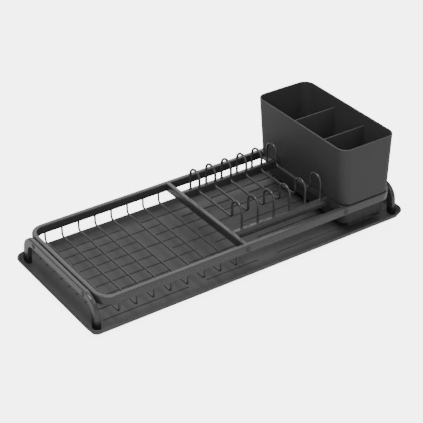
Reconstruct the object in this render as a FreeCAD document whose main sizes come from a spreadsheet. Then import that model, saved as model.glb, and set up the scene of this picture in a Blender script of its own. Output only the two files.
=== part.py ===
import FreeCAD, Part
import math
import os
import Sketcher

# Dish drying rack on a drip tray, with a cutlery holder at its right end.
# Millimetres. X runs along the rack, Y from front to back, Z up, and the
# origin is under the middle of the tray, on the table.

SIZES = {
    # drip tray
    "tray_length": 468.0,
    "tray_depth": 194.0,
    "tray_height": 10.0,
    "tray_flare": 6.0,
    "tray_lip_corner": 16.5,
    "tray_base_corner": 8.0,
    "tray_lip_width": 1.8,
    "tray_floor_top": 4.0,
    "tray_floor_thickness": 2.0,
    "tray_floor_corner": 7.5,
    "tray_bank": 5.0,
    "tray_skirt_lift": 0.4,
    "tray_skirt_width": 3.5,
    "tray_hollow_corner": 6.0,
    "groove_width": 2.2,
    "groove_depth": 0.9,
    "groove_pitch": 18.95,
    "groove_reach": 205.5,
    "groove_gap_outer": 89.3,
    "groove_gap_inner": 63.9,
    "groove_middle_end": 12.1,
    "groove_long_start": 39.8,
    "pad_radius": 6.0,
    "pad_place_x": 205.0,
    "pad_place_y": 70.0,
    # frame of flat bar
    "frame_length": 433.0,
    "frame_depth": 181.0,
    "frame_corner": 21.0,
    "frame_top": 44.5,
    "bar_width": 6.2,
    "bar_height": 11.4,
    "bar_edge": 1.2,
    "divider_place": -13.9,
    "holder_bar_place": 136.5,
    "rail_place": 56.0,
    # wires
    "basket_wire": 2.4,
    "basket_first": -192.4,
    "basket_pitch": 23.55,
    "basket_floor": 18.6,
    "basket_bend": 5.0,
    "plate_wire": 3.0,
    "plate_first": 1.1,
    "plate_pitch": 24.1,
    "plate_floor": 50.5,
    "plate_bend": 5.0,
    "loop_radius": 10.2,
    "loop_top": 77.0,
    # legs
    "leg_thickness": 5.2,
    "leg_gap": 1.6,
    "leg_lean": 7.0,
    "leg_place": 82.35,
    "leg_bend": 16.4,
    "leg_bottom": 6.0,
    "foot_length": 7.6,
    "foot_depth": 13.6,
    "foot_height": 11.0,
    "foot_corner": 3.0,
    # fasteners
    "rivet_place": 59.0,
    "rivet_shank": 2.0,
    "rivet_head": 3.4,
    "rivet_crown": 1.4,
    "rivet_top": 2.2,
    "rivet_bite": 4.0,
    "screw_shank": 1.9,
    "screw_head": 3.4,
    "screw_crown": 1.5,
    "screw_top": 2.2,
    "screw_bite": 8.0,
    "spacer_radius": 4.5,
    "shank_clearance": 0.05,
    # cutlery holder
    "holder_top": 126.5,
    "holder_left": 126.4,
    "holder_right": 210.7,
    "holder_depth": 180.4,
    "holder_corner": 11.0,
    "holder_seat_left": 133.2,
    "holder_seat_right": 208.8,
    "holder_seat_depth": 179.0,
    "holder_wall": 2.0,
    "tub_left": 141.0,
    "tub_depth": 166.0,
    "tub_corner": 12.0,
    "tub_bottom": 12.0,
    "partition_place": 30.0,
    "partition_thickness": 1.8,
    "partition_top": 110.0,
    "drain_width": 3.0,
    "drain_length": 40.0,
    "drain_pitch": 12.0,
}

BASKET_WIRES = 8
PLATE_WIRES = 6
GROOVE_ROWS_LONG_RIGHT = 5
GROOVE_ROWS_LONG_LEFT = 4
DRAINS_IN_COMPARTMENT = 4
COMPARTMENTS = 3

# What repeats has few faces: wires of eight sides that turn in steps of some
# degrees, and pins, spacers and pads with flat sides.
WIRE_SIDES = 8
TURN_STEP = 22.5
PIN_SIDES = 12
PAD_SIDES = 16

doc = FreeCAD.newDocument("dish_rack")
sheet = doc.addObject("Spreadsheet::Sheet", "Sizes")
for row, (alias, value) in enumerate(SIZES.items(), start=1):
    sheet.set(f"A{row}", alias)
    sheet.set(f"B{row}", str(value))
    sheet.setAlias(f"B{row}", alias)
doc.recompute()


class Length:
    """A number kept together with the formula of cells that gives it."""

    def __init__(self, value, formula):
        self.value = value
        self.formula = formula

    def __add__(self, other):
        return Length(self.value + number_of(other), f"({self.formula} + {formula_of(other)})")

    def __sub__(self, other):
        return Length(self.value - number_of(other), f"({self.formula} - {formula_of(other)})")

    def __mul__(self, other):
        return Length(self.value * number_of(other), f"({self.formula} * {formula_of(other)})")

    def __truediv__(self, other):
        return Length(self.value / number_of(other), f"({self.formula} / {formula_of(other)})")

    def __rmul__(self, other):
        return self * other

    def __neg__(self):
        return self * -1


def number_of(term):
    """Read the value of a length or of a plain number."""
    return term.value if isinstance(term, Length) else float(term)


def formula_of(term):
    """Write a length or a plain number as the sheet's formulas need it."""
    return term.formula if isinstance(term, Length) else str(term)


class Cells:
    """The cells of the sheet, each read by its alias."""

    def __getattr__(self, alias):
        return Length(float(sheet.get(alias)), f"Sizes.{alias}")


CELL = Cells()
ZERO = Length(0.0, "0")
BAR_MIDDLE = CELL.frame_top - CELL.bar_height / 2
LEG_MIDDLE = CELL.frame_length / 2 + CELL.leg_gap + CELL.leg_thickness / 2

TOWARDS_LEFT = FreeCAD.Rotation(FreeCAD.Vector(0, 1, 0), -90)
TOWARDS_RIGHT = FreeCAD.Rotation(FreeCAD.Vector(0, 1, 0), 90)
TOWARDS_FRONT = FreeCAD.Rotation(FreeCAD.Vector(1, 0, 0), 90)
TOWARDS_BACK = FreeCAD.Rotation(FreeCAD.Vector(1, 0, 0), -90)
UPWARDS = FreeCAD.Rotation()
SIDES = (-1, 1)


def bind(target, path, length):
    """Bind a property of an object to the formula of a length."""
    target.setExpression(path, formula_of(length))


def place_at(target, place, turn=UPWARDS):
    """Turn an object and bind its place, which is three lengths."""
    target.Placement = FreeCAD.Placement(FreeCAD.Vector(), turn)
    for axis, length in zip("xyz", place):
        bind(target, f".Placement.Base.{axis}", length)


def new_body(label):
    """Start a body and give it its label."""
    body = doc.addObject("PartDesign::Body", label)
    body.Label = label
    return body


def new_sketch(body, plane_role, name, across=ZERO, along=ZERO, away=ZERO):
    """Make a sketch on one of the body's own origin planes, shifted by three lengths."""
    plane = next(item for item in body.Origin.OriginFeatures if item.Role == plane_role)
    sketch = body.newObject("Sketcher::SketchObject", name)
    sketch.AttachmentSupport = (plane, [""])
    sketch.MapMode = "FlatFace"
    for axis, length in (("x", across), ("y", along), ("z", away)):
        bind(sketch, f".AttachmentOffset.Base.{axis}", length)
    return sketch


def constrain(sketch, name, constraint, length):
    """Add a named constraint and bind its value to a length."""
    index = sketch.addConstraint(constraint)
    sketch.renameConstraint(index, name)
    bind(sketch, f"Constraints.{name}", length)


def hold_across(sketch, name, curve, end, length):
    """Hold a point of the sketch at a distance to the right of the origin."""
    rule = Sketcher.Constraint("DistanceX", -1, 1, curve, end, length.value)
    constrain(sketch, name, rule, length)


def hold_along(sketch, name, curve, end, length):
    """Hold a point of the sketch at a distance above the origin."""
    rule = Sketcher.Constraint("DistanceY", -1, 1, curve, end, length.value)
    constrain(sketch, name, rule, length)


def point(across, along):
    """Make a point of a sketch's plane."""
    return FreeCAD.Vector(across, along, 0.0)


def rounded_rectangle(sketch, length, width, corner):
    """Draw a rectangle with round corners, centred on the sketch's origin."""
    half_length, half_width, radius = length.value / 2, width.value / 2, corner.value
    inner_length, inner_width = half_length - radius, half_width - radius
    corners = [(1, -1, 270), (1, 1, 0), (-1, 1, 90), (-1, -1, 180)]
    ends = [
        (point(-inner_length, -half_width), point(inner_length, -half_width)),
        (point(half_length, -inner_width), point(half_length, inner_width)),
        (point(inner_length, half_width), point(-inner_length, half_width)),
        (point(-half_length, inner_width), point(-half_length, -inner_width)),
    ]
    for (start, end), (side_x, side_y, first) in zip(ends, corners):
        sketch.addGeometry(Part.LineSegment(start, end), False)
        centre = point(side_x * inner_length, side_y * inner_width)
        circle = Part.Circle(centre, FreeCAD.Vector(0, 0, 1), radius)
        arc = Part.ArcOfCircle(circle, math.radians(first), math.radians(first + 90))
        sketch.addGeometry(arc, False)
    for index in range(8):
        sketch.addConstraint(Sketcher.Constraint("Tangent", index, 2, (index + 1) % 8, 1))
    for index in (0, 4):
        sketch.addConstraint(Sketcher.Constraint("Horizontal", index))
    for index in (2, 6):
        sketch.addConstraint(Sketcher.Constraint("Vertical", index))
    for index in (3, 5, 7):
        sketch.addConstraint(Sketcher.Constraint("Equal", 1, index))
    sketch.addConstraint(Sketcher.Constraint("Symmetric", 0, 1, 4, 1, -1, 1))
    constrain(sketch, "corner", Sketcher.Constraint("Radius", 1, radius), corner)
    across = Sketcher.Constraint("DistanceX", 6, 1, 2, 1, 2 * half_length)
    constrain(sketch, "length", across, length)
    along = Sketcher.Constraint("DistanceY", 0, 1, 4, 1, 2 * half_width)
    constrain(sketch, "width", along, width)


def outline(sketch, corners, closed=True):
    """Draw straight lines through corners, each held by the lengths of its place."""
    first = sketch.GeometryCount
    places = [point(across.value, along.value) for across, along in corners]
    count = len(corners)
    lines = count if closed else count - 1
    for number in range(lines):
        line = Part.LineSegment(places[number], places[(number + 1) % count])
        sketch.addGeometry(line, False)
    for number in range(lines if closed else lines - 1):
        following = first + (number + 1) % count
        joined = Sketcher.Constraint("Coincident", first + number, 2, following, 1)
        sketch.addConstraint(joined)
    for number, (across, along) in enumerate(corners):
        curve, end = (first + number, 1) if number < lines else (first + lines - 1, 2)
        hold_across(sketch, f"across_{first + number}", curve, end, across)
        hold_along(sketch, f"along_{first + number}", curve, end, along)


def rectangle(sketch, length, width):
    """Draw a rectangle with sharp corners, centred on the sketch's origin."""
    right = [(length / 2, width / -2), (length / 2, width / 2)]
    outline(sketch, right + [(-across, -along) for across, along in right])


def chamfered_rectangle(sketch, length, width, corner):
    """Draw a rectangle with cut corners, centred on the sketch's origin."""
    half_length, half_width = length / 2, width / 2
    inner_length, inner_width = half_length - corner, half_width - corner
    right = [
        (inner_length, -half_width),
        (half_length, -inner_width),
        (half_length, inner_width),
        (inner_length, half_width),
    ]
    outline(sketch, right + [(-across, -along) for across, along in right])


def slot(sketch, start, end, along, width):
    """Draw a narrow slot with pointed ends along the sketch's X axis."""
    half = width / 2
    corners = [
        (start + half, along - half),
        (end - half, along - half),
        (end, along),
        (end - half, along + half),
        (start + half, along + half),
        (start, along),
    ]
    outline(sketch, corners)


def bend(centre_across, centre_along, radius, first, sweep):
    """List the corners of a bend, one for each step of its turn, drawn round its arc."""
    steps = round(abs(sweep) / TURN_STEP)
    step = sweep / steps
    reach = radius / round(math.cos(math.radians(step / 2)), 6)
    corners = []
    for number in range(steps):
        angle = math.radians(first + (number + 0.5) * step)
        across = centre_across + reach * round(math.cos(angle), 6)
        along = centre_along + reach * round(math.sin(angle), 6)
        corners.append((across, along))
    return corners


def with_mirror(corners):
    """Carry a path on through the same corners on the other side."""
    return corners + [(-across, along) for across, along in reversed(corners)]


def pad(body, sketch, length, name, both_ways=False):
    """Pad a sketch by a length, or by half of it each way."""
    feature = body.newObject("PartDesign::Pad", name)
    feature.Profile = sketch
    bind(feature, "Length", length)
    feature.Midplane = both_ways
    return feature


def pocket_upwards(body, sketch, length, name):
    """Cut a sketch out of the body, upwards from the sketch's plane."""
    feature = body.newObject("PartDesign::Pocket", name)
    feature.Profile = sketch
    bind(feature, "Length", length)
    feature.Reversed = True
    return feature


def dress_edges(body, kind, base, chosen, name, path, length):
    """Round or chamfer the edges of the last feature that the test picks."""
    doc.recompute()
    edges = [
        f"Edge{number}"
        for number, edge in enumerate(base.Shape.Edges, start=1)
        if chosen(edge)
    ]
    feature = body.newObject(f"PartDesign::{kind}", name)
    feature.Base = (base, edges)
    bind(feature, path, length)
    return feature


def loft(body, kind, lower, upper, name):
    """Add or cut the straight-sided form between two outlines."""
    feature = body.newObject(f"PartDesign::{kind}Loft", name)
    feature.Profile = lower
    feature.Sections = [upper]
    feature.Ruled = True
    return feature


def repeat_along_y(body, base, step, count, name):
    """Repeat a feature towards the back, and make the pattern the tip."""
    pattern = body.newObject("PartDesign::LinearPattern", name)
    pattern.Originals = [base]
    axis = next(item for item in body.Origin.OriginFeatures if item.Role == "Y_Axis")
    pattern.Direction = (axis, [""])
    bind(pattern, "Length", step * (count - 1))
    pattern.Occurrences = count
    body.Tip = pattern


def group(label, pieces):
    """Keep like pieces as separate solids of one node."""
    compound = doc.addObject("Part::Compound", label)
    compound.Label = label
    compound.Links = pieces
    return compound


def prism(name, sides, radius, height, place, turn=UPWARDS):
    """Make a plain prism that stands on its place."""
    part = doc.addObject("Part::Prism", name)
    part.Polygon = sides
    bind(part, "Circumradius", radius)
    bind(part, "Height", height)
    place_at(part, place, turn)
    return part


def cut_from(label, base, tool):
    """Cut one object out of another and give the result its label."""
    base.Label = f"{label}_blank"
    cut = doc.addObject("Part::Cut", label)
    cut.Base = base
    cut.Tool = tool
    cut.Label = label
    return cut


def tray_level(body, name, inset, corner, height):
    """Draw the tray's outline at one height, drawn in from the lip by an inset."""
    sketch = new_sketch(body, "XY_Plane", name, away=height)
    length = CELL.tray_length - 2 * inset
    rounded_rectangle(sketch, length, CELL.tray_depth - 2 * inset, corner)
    return sketch


def groove_row(body, name, side, rows):
    """Cut one kind of groove row at the front and repeat it at every second pitch."""
    sketch = new_sketch(
        body, "XY_Plane", f"grooves_{name}", away=CELL.tray_floor_top - CELL.groove_depth
    )
    stretches = (
        (-CELL.groove_reach, -CELL.groove_gap_outer),
        (-CELL.groove_gap_inner, CELL.groove_middle_end),
        (CELL.groove_long_start, CELL.groove_reach),
    )
    for start, end in stretches:
        if side < 0:
            start, end = -end, -start
        slot(sketch, start, end, CELL.groove_pitch * (1 - rows), CELL.groove_width)
    cut = pocket_upwards(body, sketch, CELL.groove_depth * 2, f"groove_row_{name}")
    repeat_along_y(body, cut, CELL.groove_pitch * 2, rows, f"groove_rows_{name}")


def drip_tray():
    """Shallow tray: flared rim, sunk floor, rows of drain grooves, hollow underneath."""
    body = new_body("drip_tray")
    base = tray_level(
        body, "tray_base", CELL.tray_flare, CELL.tray_base_corner, CELL.tray_skirt_lift
    )
    lip = tray_level(body, "tray_lip", ZERO, CELL.tray_lip_corner, CELL.tray_height)
    loft(body, "Additive", base, lip, "tray_outside")
    wall = CELL.tray_lip_width
    floor = tray_level(
        body, "tray_floor", wall + CELL.tray_bank, CELL.tray_floor_corner, CELL.tray_floor_top
    )
    mouth = tray_level(
        body, "tray_mouth", wall, CELL.tray_lip_corner - wall, CELL.tray_height
    )
    loft(body, "Subtractive", floor, mouth, "tray_inside")
    skirt = CELL.tray_flare + CELL.tray_skirt_width
    under = tray_level(body, "tray_under", skirt, CELL.tray_hollow_corner, ZERO)
    hollow = CELL.tray_floor_top - CELL.tray_floor_thickness
    pocket_upwards(body, under, hollow, "tray_hollow")
    groove_row(body, "long_right", 1, GROOVE_ROWS_LONG_RIGHT)
    groove_row(body, "long_left", -1, GROOVE_ROWS_LONG_LEFT)
    return body


def tray_pads():
    """Four rubber pads in the hollow under the tray."""
    height = CELL.tray_floor_top - CELL.tray_floor_thickness
    pads = []
    for side_x in SIDES:
        for side_y in SIDES:
            place = (CELL.pad_place_x * side_x, CELL.pad_place_y * side_y, ZERO)
            pads.append(prism("pad", PAD_SIDES, CELL.pad_radius, height, place))
    return group("tray_pads", pads)


def end_drills(name, start, length, side, radius):
    """Make the drills for the two rivets of one end, pointing outwards."""
    turn = TOWARDS_LEFT if side < 0 else TOWARDS_RIGHT
    drills = []
    for side_y in SIDES:
        place = (start * side, CELL.rivet_place * side_y, BAR_MIDDLE)
        drills.append(prism(name, PIN_SIDES, radius, length, place, turn))
    return drills


def band_drills(name, bars, start, length, radius):
    """Make the drills for the screws through the front and rear bands."""
    drills = []
    for bar in bars:
        for side, turn in ((-1, TOWARDS_FRONT), (1, TOWARDS_BACK)):
            place = (bar, start * side, BAR_MIDDLE)
            drills.append(prism(name, PIN_SIDES, radius, length, place, turn))
    return drills


def frame_ring():
    """Round-cornered band of flat bar, drilled for the bars and the legs."""
    body = new_body("frame_ring_band")
    low = CELL.frame_top - CELL.bar_height
    outside = new_sketch(body, "XY_Plane", "ring_outside", away=low)
    rounded_rectangle(outside, CELL.frame_length, CELL.frame_depth, CELL.frame_corner)
    pad(body, outside, CELL.bar_height, "ring_blank")
    inside = new_sketch(body, "XY_Plane", "ring_inside", away=low)
    rounded_rectangle(
        inside,
        CELL.frame_length - 2 * CELL.bar_width,
        CELL.frame_depth - 2 * CELL.bar_width,
        CELL.frame_corner - CELL.bar_width,
    )
    band = pocket_upwards(body, inside, CELL.bar_height, "ring_band")

    def is_level(edge):
        return edge.BoundBox.ZLength < 1e-3

    dress_edges(body, "Chamfer", band, is_level, "ring_edges", "Size", CELL.bar_edge)
    bore = CELL.rivet_shank + CELL.shank_clearance
    inner_face = CELL.frame_length / 2 - CELL.rivet_bite
    drills = []
    for side in SIDES:
        drills += end_drills("end_drill", inner_face, CELL.rivet_bite * 2, side, bore)
    drills += band_drills(
        "band_drill",
        (CELL.divider_place, CELL.holder_bar_place),
        CELL.frame_depth / 2 - 2 * CELL.bar_width,
        CELL.bar_width * 3,
        CELL.screw_shank + CELL.shank_clearance,
    )
    return cut_from("frame_ring", body, group("ring_drills", drills))


def straight_bar(label, plane_role, length, across, along):
    """Make a flat bar, its section on one of the upright planes."""
    body = new_body(label)
    section = new_sketch(
        body, plane_role, f"{label}_section", across=across, along=BAR_MIDDLE, away=along
    )
    chamfered_rectangle(section, CELL.bar_width, CELL.bar_height, CELL.bar_edge)
    pad(body, section, length, f"{label}_length", both_ways=True)
    return body


def cross_bars():
    """The divider and the holder bar, from the front band to the rear band."""
    length = CELL.frame_depth - 2 * CELL.bar_width
    made = []
    for label, place in (
        ("divider_bar", CELL.divider_place),
        ("holder_bar", CELL.holder_bar_place),
    ):
        blank = straight_bar(label, "XZ_Plane", length, place, ZERO)
        drills = band_drills(
            f"{label}_drill",
            (place,),
            length / 2 - CELL.screw_bite,
            CELL.screw_bite * 2,
            CELL.screw_shank + CELL.shank_clearance,
        )
        made.append(cut_from(label, blank, group(f"{label}_drills", drills)))
    return made


def plate_rails():
    """Two rails between the cross bars, level with the frame."""
    length = CELL.holder_bar_place - CELL.divider_place - CELL.bar_width
    middle = (CELL.holder_bar_place + CELL.divider_place) / 2
    made = []
    for label, side in (("plate_rail_front", -1), ("plate_rail_rear", 1)):
        made.append(straight_bar(label, "YZ_Plane", length, CELL.rail_place * side, middle))
    return made


def wire(label, place, corners, diameter):
    """Sweep a wire's section along a path through corners of the YZ plane."""
    path = doc.addObject("Sketcher::SketchObject", f"{label}_path")
    place_at(path, (place, ZERO, ZERO), FreeCAD.Rotation(FreeCAD.Vector(1, 1, 1), 120))
    outline(path, corners, closed=False)
    section = doc.addObject("Part::RegularPolygon", f"{label}_section")
    section.Polygon = WIRE_SIDES
    flat_to_corner = round(1 / math.cos(math.pi / WIRE_SIDES), 6)
    bind(section, "Circumradius", diameter / 2 * flat_to_corner)
    half_side = FreeCAD.Rotation(FreeCAD.Vector(0, 0, 1), 180 / WIRE_SIDES)
    place_at(section, (place, corners[0][0], corners[0][1]), half_side)
    sweep = doc.addObject("Part::Sweep", label)
    sweep.Sections = [section]
    sweep.Spine = (path, [f"Edge{number}" for number in range(1, len(corners))])
    sweep.Solid = True
    sweep.Transition = "Right corner"
    sweep.Label = label
    return sweep


def basket_wires():
    """Wires that hang from the underside of the bands and floor the dish basket."""
    reach = (CELL.frame_depth - CELL.bar_width) / 2
    top = CELL.frame_top - CELL.bar_height
    radius = CELL.basket_bend
    turned = bend(radius - reach, CELL.basket_floor + radius, radius, 180, 90)
    corners = with_mirror([(-reach, top)] + turned)
    made = []
    for number in range(BASKET_WIRES):
        place = CELL.basket_first + CELL.basket_pitch * number
        made.append(wire(f"basket_wire_{number + 1}", place, corners, CELL.basket_wire))
    return made


def plate_wires():
    """Wires with an upright loop over each rail, which hold the plates on edge."""
    foot, loop, radius = CELL.rail_place, CELL.loop_radius, CELL.plate_bend
    crown = bend(loop - foot, CELL.loop_top - loop, loop, 180, -180)
    inner = loop * 2 - foot
    dip = bend(inner + radius, CELL.plate_floor + radius, radius, 180, 90)
    corners = with_mirror([(-foot, CELL.frame_top)] + crown + dip)
    made = []
    for number in range(PLATE_WIRES):
        place = CELL.plate_first + CELL.plate_pitch * number
        made.append(wire(f"plate_wire_{number + 1}", place, corners, CELL.plate_wire))
    return made


def leaning_arch(sketch):
    """Draw a leg's middle line: two uprights that lean apart downwards, and a level run."""
    lean = math.radians(CELL.leg_lean.value)
    reach, low = CELL.leg_place.value, CELL.leg_bottom.value
    height, radius = BAR_MIDDLE.value, CELL.leg_bend.value
    shoulder = reach - (height - low) * math.tan(lean)
    cut = radius * math.tan((math.pi / 2 - lean) / 2)
    run = shoulder - cut
    knee = point(shoulder + cut * math.sin(lean), height - cut * math.cos(lean))
    middle = (math.pi / 2 + lean) / 2
    bulge = point(run + radius * math.cos(middle), height - radius + radius * math.sin(middle))
    right = [
        Part.LineSegment(point(-run, height), point(run, height)),
        Part.Arc(point(run, height), bulge, knee),
        Part.LineSegment(knee, point(reach, low)),
    ]
    left = [
        Part.LineSegment(point(-reach, low), point(-knee.x, knee.y)),
        Part.Arc(point(-knee.x, knee.y), point(-bulge.x, bulge.y), point(-run, height)),
    ]
    curves = left + right
    ends = []
    for curve in curves:
        index = sketch.addGeometry(curve, False)
        forwards = (sketch.getPoint(index, 1) - curve.StartPoint).Length < 1e-6
        ends.append((1, 2) if forwards else (2, 1))
    for index in range(len(curves) - 1):
        tangent = Sketcher.Constraint(
            "Tangent", index, ends[index][1], index + 1, ends[index + 1][0]
        )
        sketch.addConstraint(tangent)
    sketch.addConstraint(Sketcher.Constraint("Horizontal", 2))
    for index in (1, 3):
        rule = Sketcher.Constraint("Radius", index, radius)
        constrain(sketch, f"bend_{index}", rule, CELL.leg_bend)
    slant = Length(90, "90") - CELL.leg_lean
    for index, side in ((0, 1), (4, -1)):
        rule = Sketcher.Constraint("Angle", index, math.radians(slant.value * side))
        constrain(sketch, f"slant_{index}", rule, slant * side * Length(1, "1 deg"))
    hold_across(sketch, "front", 0, 1, -CELL.leg_place)
    hold_across(sketch, "rear", 4, 2, CELL.leg_place)
    hold_along(sketch, "level", 2, 1, BAR_MIDDLE)
    hold_along(sketch, "front_tip", 0, 1, CELL.leg_bottom)
    hold_along(sketch, "rear_tip", 4, 2, CELL.leg_bottom)


def leg(label, side):
    """Make the arch of flat bar beyond one end of the frame."""
    body = new_body(label)
    path = new_sketch(body, "YZ_Plane", f"{label}_path", away=LEG_MIDDLE * side)
    leaning_arch(path)
    section = new_sketch(
        body,
        "XY_Plane",
        f"{label}_section",
        across=LEG_MIDDLE * side,
        along=-CELL.leg_place,
        away=CELL.leg_bottom,
    )
    tilt = FreeCAD.Rotation(FreeCAD.Vector(-1, 0, 0), CELL.leg_lean.value)
    section.AttachmentOffset = FreeCAD.Placement(section.AttachmentOffset.Base, tilt)
    bind(section, ".AttachmentOffset.Rotation.Angle", CELL.leg_lean * Length(1, "1 deg"))
    chamfered_rectangle(section, CELL.leg_thickness, CELL.bar_height, CELL.bar_edge)
    arch = body.newObject("PartDesign::AdditivePipe", f"{label}_arch")
    arch.Profile = section
    doc.recompute()
    arch.Spine = (path, [f"Edge{number}" for number in range(1, len(path.Shape.Edges) + 1)])
    bore = CELL.rivet_shank + CELL.shank_clearance
    start = CELL.frame_length / 2 - CELL.leg_gap
    drills = end_drills(f"{label}_drill", start, CELL.leg_thickness * 3, side, bore)
    return cut_from(label, body, group(f"{label}_drills", drills))


def foot_caps(leg_of_side):
    """Rubber caps pushed over the ends of the legs."""
    made = []
    for side_x, side_name in ((-1, "left"), (1, "right")):
        for side_y, depth_name in ((-1, "front"), (1, "rear")):
            label = f"foot_cap_{depth_name}_{side_name}"
            body = new_body(label)
            sketch = new_sketch(
                body,
                "XY_Plane",
                f"{label}_outline",
                across=LEG_MIDDLE * side_x,
                along=CELL.leg_place * side_y,
                away=CELL.tray_floor_top,
            )
            chamfered_rectangle(sketch, CELL.foot_length, CELL.foot_depth, CELL.foot_corner)
            pad(body, sketch, CELL.foot_height, f"{label}_block")
            made.append(cut_from(label, body, leg_of_side[side_x]))
    return made


def leg_spacers():
    """Washers that keep the legs off the frame's ends."""
    bore = CELL.rivet_shank + CELL.shank_clearance
    made = []
    for side, turn in ((-1, TOWARDS_LEFT), (1, TOWARDS_RIGHT)):
        for side_y in SIDES:
            place = (CELL.frame_length / 2 * side, CELL.rivet_place * side_y, BAR_MIDDLE)
            disc = prism("disc", PAD_SIDES, CELL.spacer_radius, CELL.leg_gap, place, turn)
            hole = prism("hole", PIN_SIDES, bore, CELL.leg_gap, place, turn)
            made.append(cut_from("spacer", disc, hole))
    return group("leg_spacers", made)


def headed_pin(name, pin, length, place, turn):
    """Make a pin: a shank inwards from its place, and a low head outwards."""
    shank_radius, head_radius, top_radius, crown = pin
    back = turn.multiply(FreeCAD.Rotation(FreeCAD.Vector(1, 0, 0), 180))
    shank = prism(f"{name}_shank", PIN_SIDES, shank_radius, length, place, back)
    seat = doc.addObject("Part::RegularPolygon", f"{name}_seat")
    seat.Polygon = PIN_SIDES
    bind(seat, "Circumradius", head_radius)
    place_at(seat, place, turn)
    top = doc.addObject("Part::RegularPolygon", f"{name}_top")
    top.Polygon = PIN_SIDES
    bind(top, "Circumradius", top_radius)
    outwards = turn.multVec(FreeCAD.Vector(0, 0, 1))
    raised = [
        length + crown * round(step, 6)
        for length, step in zip(place, (outwards.x, outwards.y, outwards.z))
    ]
    place_at(top, raised, turn)
    head = doc.addObject("Part::Loft", f"{name}_head")
    head.Sections = [seat, top]
    head.Solid = True
    head.Ruled = True
    whole = doc.addObject("Part::Fuse", name)
    whole.Base = shank
    whole.Tool = head
    return whole


def leg_rivets():
    """Rivets through the legs and spacers into the frame's ends."""
    rivet = (CELL.rivet_shank, CELL.rivet_head, CELL.rivet_top, CELL.rivet_crown)
    length = CELL.leg_thickness + CELL.leg_gap + CELL.rivet_bite
    face = LEG_MIDDLE + CELL.leg_thickness / 2
    made = []
    for side, turn in ((-1, TOWARDS_LEFT), (1, TOWARDS_RIGHT)):
        for side_y in SIDES:
            place = (face * side, CELL.rivet_place * side_y, BAR_MIDDLE)
            made.append(headed_pin("rivet", rivet, length, place, turn))
    return group("leg_rivets", made)


def bar_screws():
    """Screws through the bands into the ends of the cross bars."""
    screw = (CELL.screw_shank, CELL.screw_head, CELL.screw_top, CELL.screw_crown)
    length = CELL.bar_width + CELL.screw_bite
    made = []
    for bar in (CELL.divider_place, CELL.holder_bar_place):
        for side, turn in ((-1, TOWARDS_FRONT), (1, TOWARDS_BACK)):
            place = (bar, CELL.frame_depth / 2 * side, BAR_MIDDLE)
            made.append(headed_pin("screw", screw, length, place, turn))
    return group("bar_screws", made)


def bin_outline(body):
    """Draw the bin's outline where it rests on the frame, with sharp corners."""
    left, right = CELL.holder_seat_left, CELL.holder_seat_right
    middle = (left + right) / 2
    sketch = new_sketch(body, "XY_Plane", "bin_outline", across=middle, away=CELL.frame_top)
    rectangle(sketch, right - left, CELL.holder_seat_depth)
    return sketch


def tub_outline(body, name, height, inset=ZERO):
    """Draw the outline of the part that hangs inside the frame, drawn in by an inset."""
    left, right = CELL.tub_left, CELL.holder_seat_right
    sketch = new_sketch(body, "XY_Plane", name, across=(left + right) / 2, away=height)
    rounded_rectangle(
        sketch, right - left - 2 * inset, CELL.tub_depth - 2 * inset, CELL.tub_corner - inset
    )
    return sketch


def face_at(shape, axis, place):
    """Name the upright or level flat face that lies at a place on an axis."""
    for number, face in enumerate(shape.Faces, start=1):
        box = face.BoundBox
        low, high = getattr(box, f"{axis}Min"), getattr(box, f"{axis}Max")
        if max(abs(low - place.value), abs(high - place.value)) < 1e-3:
            return f"Face{number}"
    raise RuntimeError(f"no face at {axis} {place.value}")


def lean_walls(body, base):
    """Lean the bin's four walls out from the frame's top, to reach the rim's size."""
    left, right = CELL.holder_seat_left, CELL.holder_seat_right
    end = CELL.holder_seat_depth / 2
    rise = CELL.holder_top - CELL.frame_top
    walls = (
        ("left", "X", [left], left - CELL.holder_left),
        ("right", "X", [right], CELL.holder_right - right),
        ("ends", "Y", [-end, end], CELL.holder_depth / 2 - end),
    )
    for side, axis, places, spread in walls:
        doc.recompute()
        feature = body.newObject("PartDesign::Draft", f"lean_{side}")
        feature.Base = (base, [face_at(base.Shape, axis, place) for place in places])
        feature.NeutralPlane = (base, [face_at(base.Shape, "Z", CELL.frame_top)])
        feature.setExpression("Angle", f"atan({formula_of(spread)} / {formula_of(rise)})")
        feature.Reversed = True
        base = feature
    return base


def partition(body, side):
    """Add one partition across the holder, its edges buried in the walls."""
    name = "front" if side < 0 else "rear"
    away = CELL.partition_place * side
    sketch = new_sketch(body, "XZ_Plane", f"partition_{name}", away=away)
    bury = CELL.holder_wall / 2
    seat, top = CELL.frame_top, CELL.partition_top
    left = CELL.holder_seat_left + bury
    right = CELL.holder_seat_right - bury
    share = (top - seat) / (CELL.holder_top - seat)
    left_lean = (CELL.holder_seat_left - CELL.holder_left) * share
    right_lean = (CELL.holder_right - CELL.holder_seat_right) * share
    low = CELL.tub_bottom + bury
    corners = [
        (CELL.tub_left + bury, low),
        (right, low),
        (right, seat),
        (right + right_lean, top),
        (left - left_lean, top),
        (left, seat + bury),
        (CELL.tub_left + bury, seat + bury),
    ]
    outline(sketch, corners)
    pad(body, sketch, CELL.partition_thickness, f"partition_{name}_web", both_ways=True)


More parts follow.
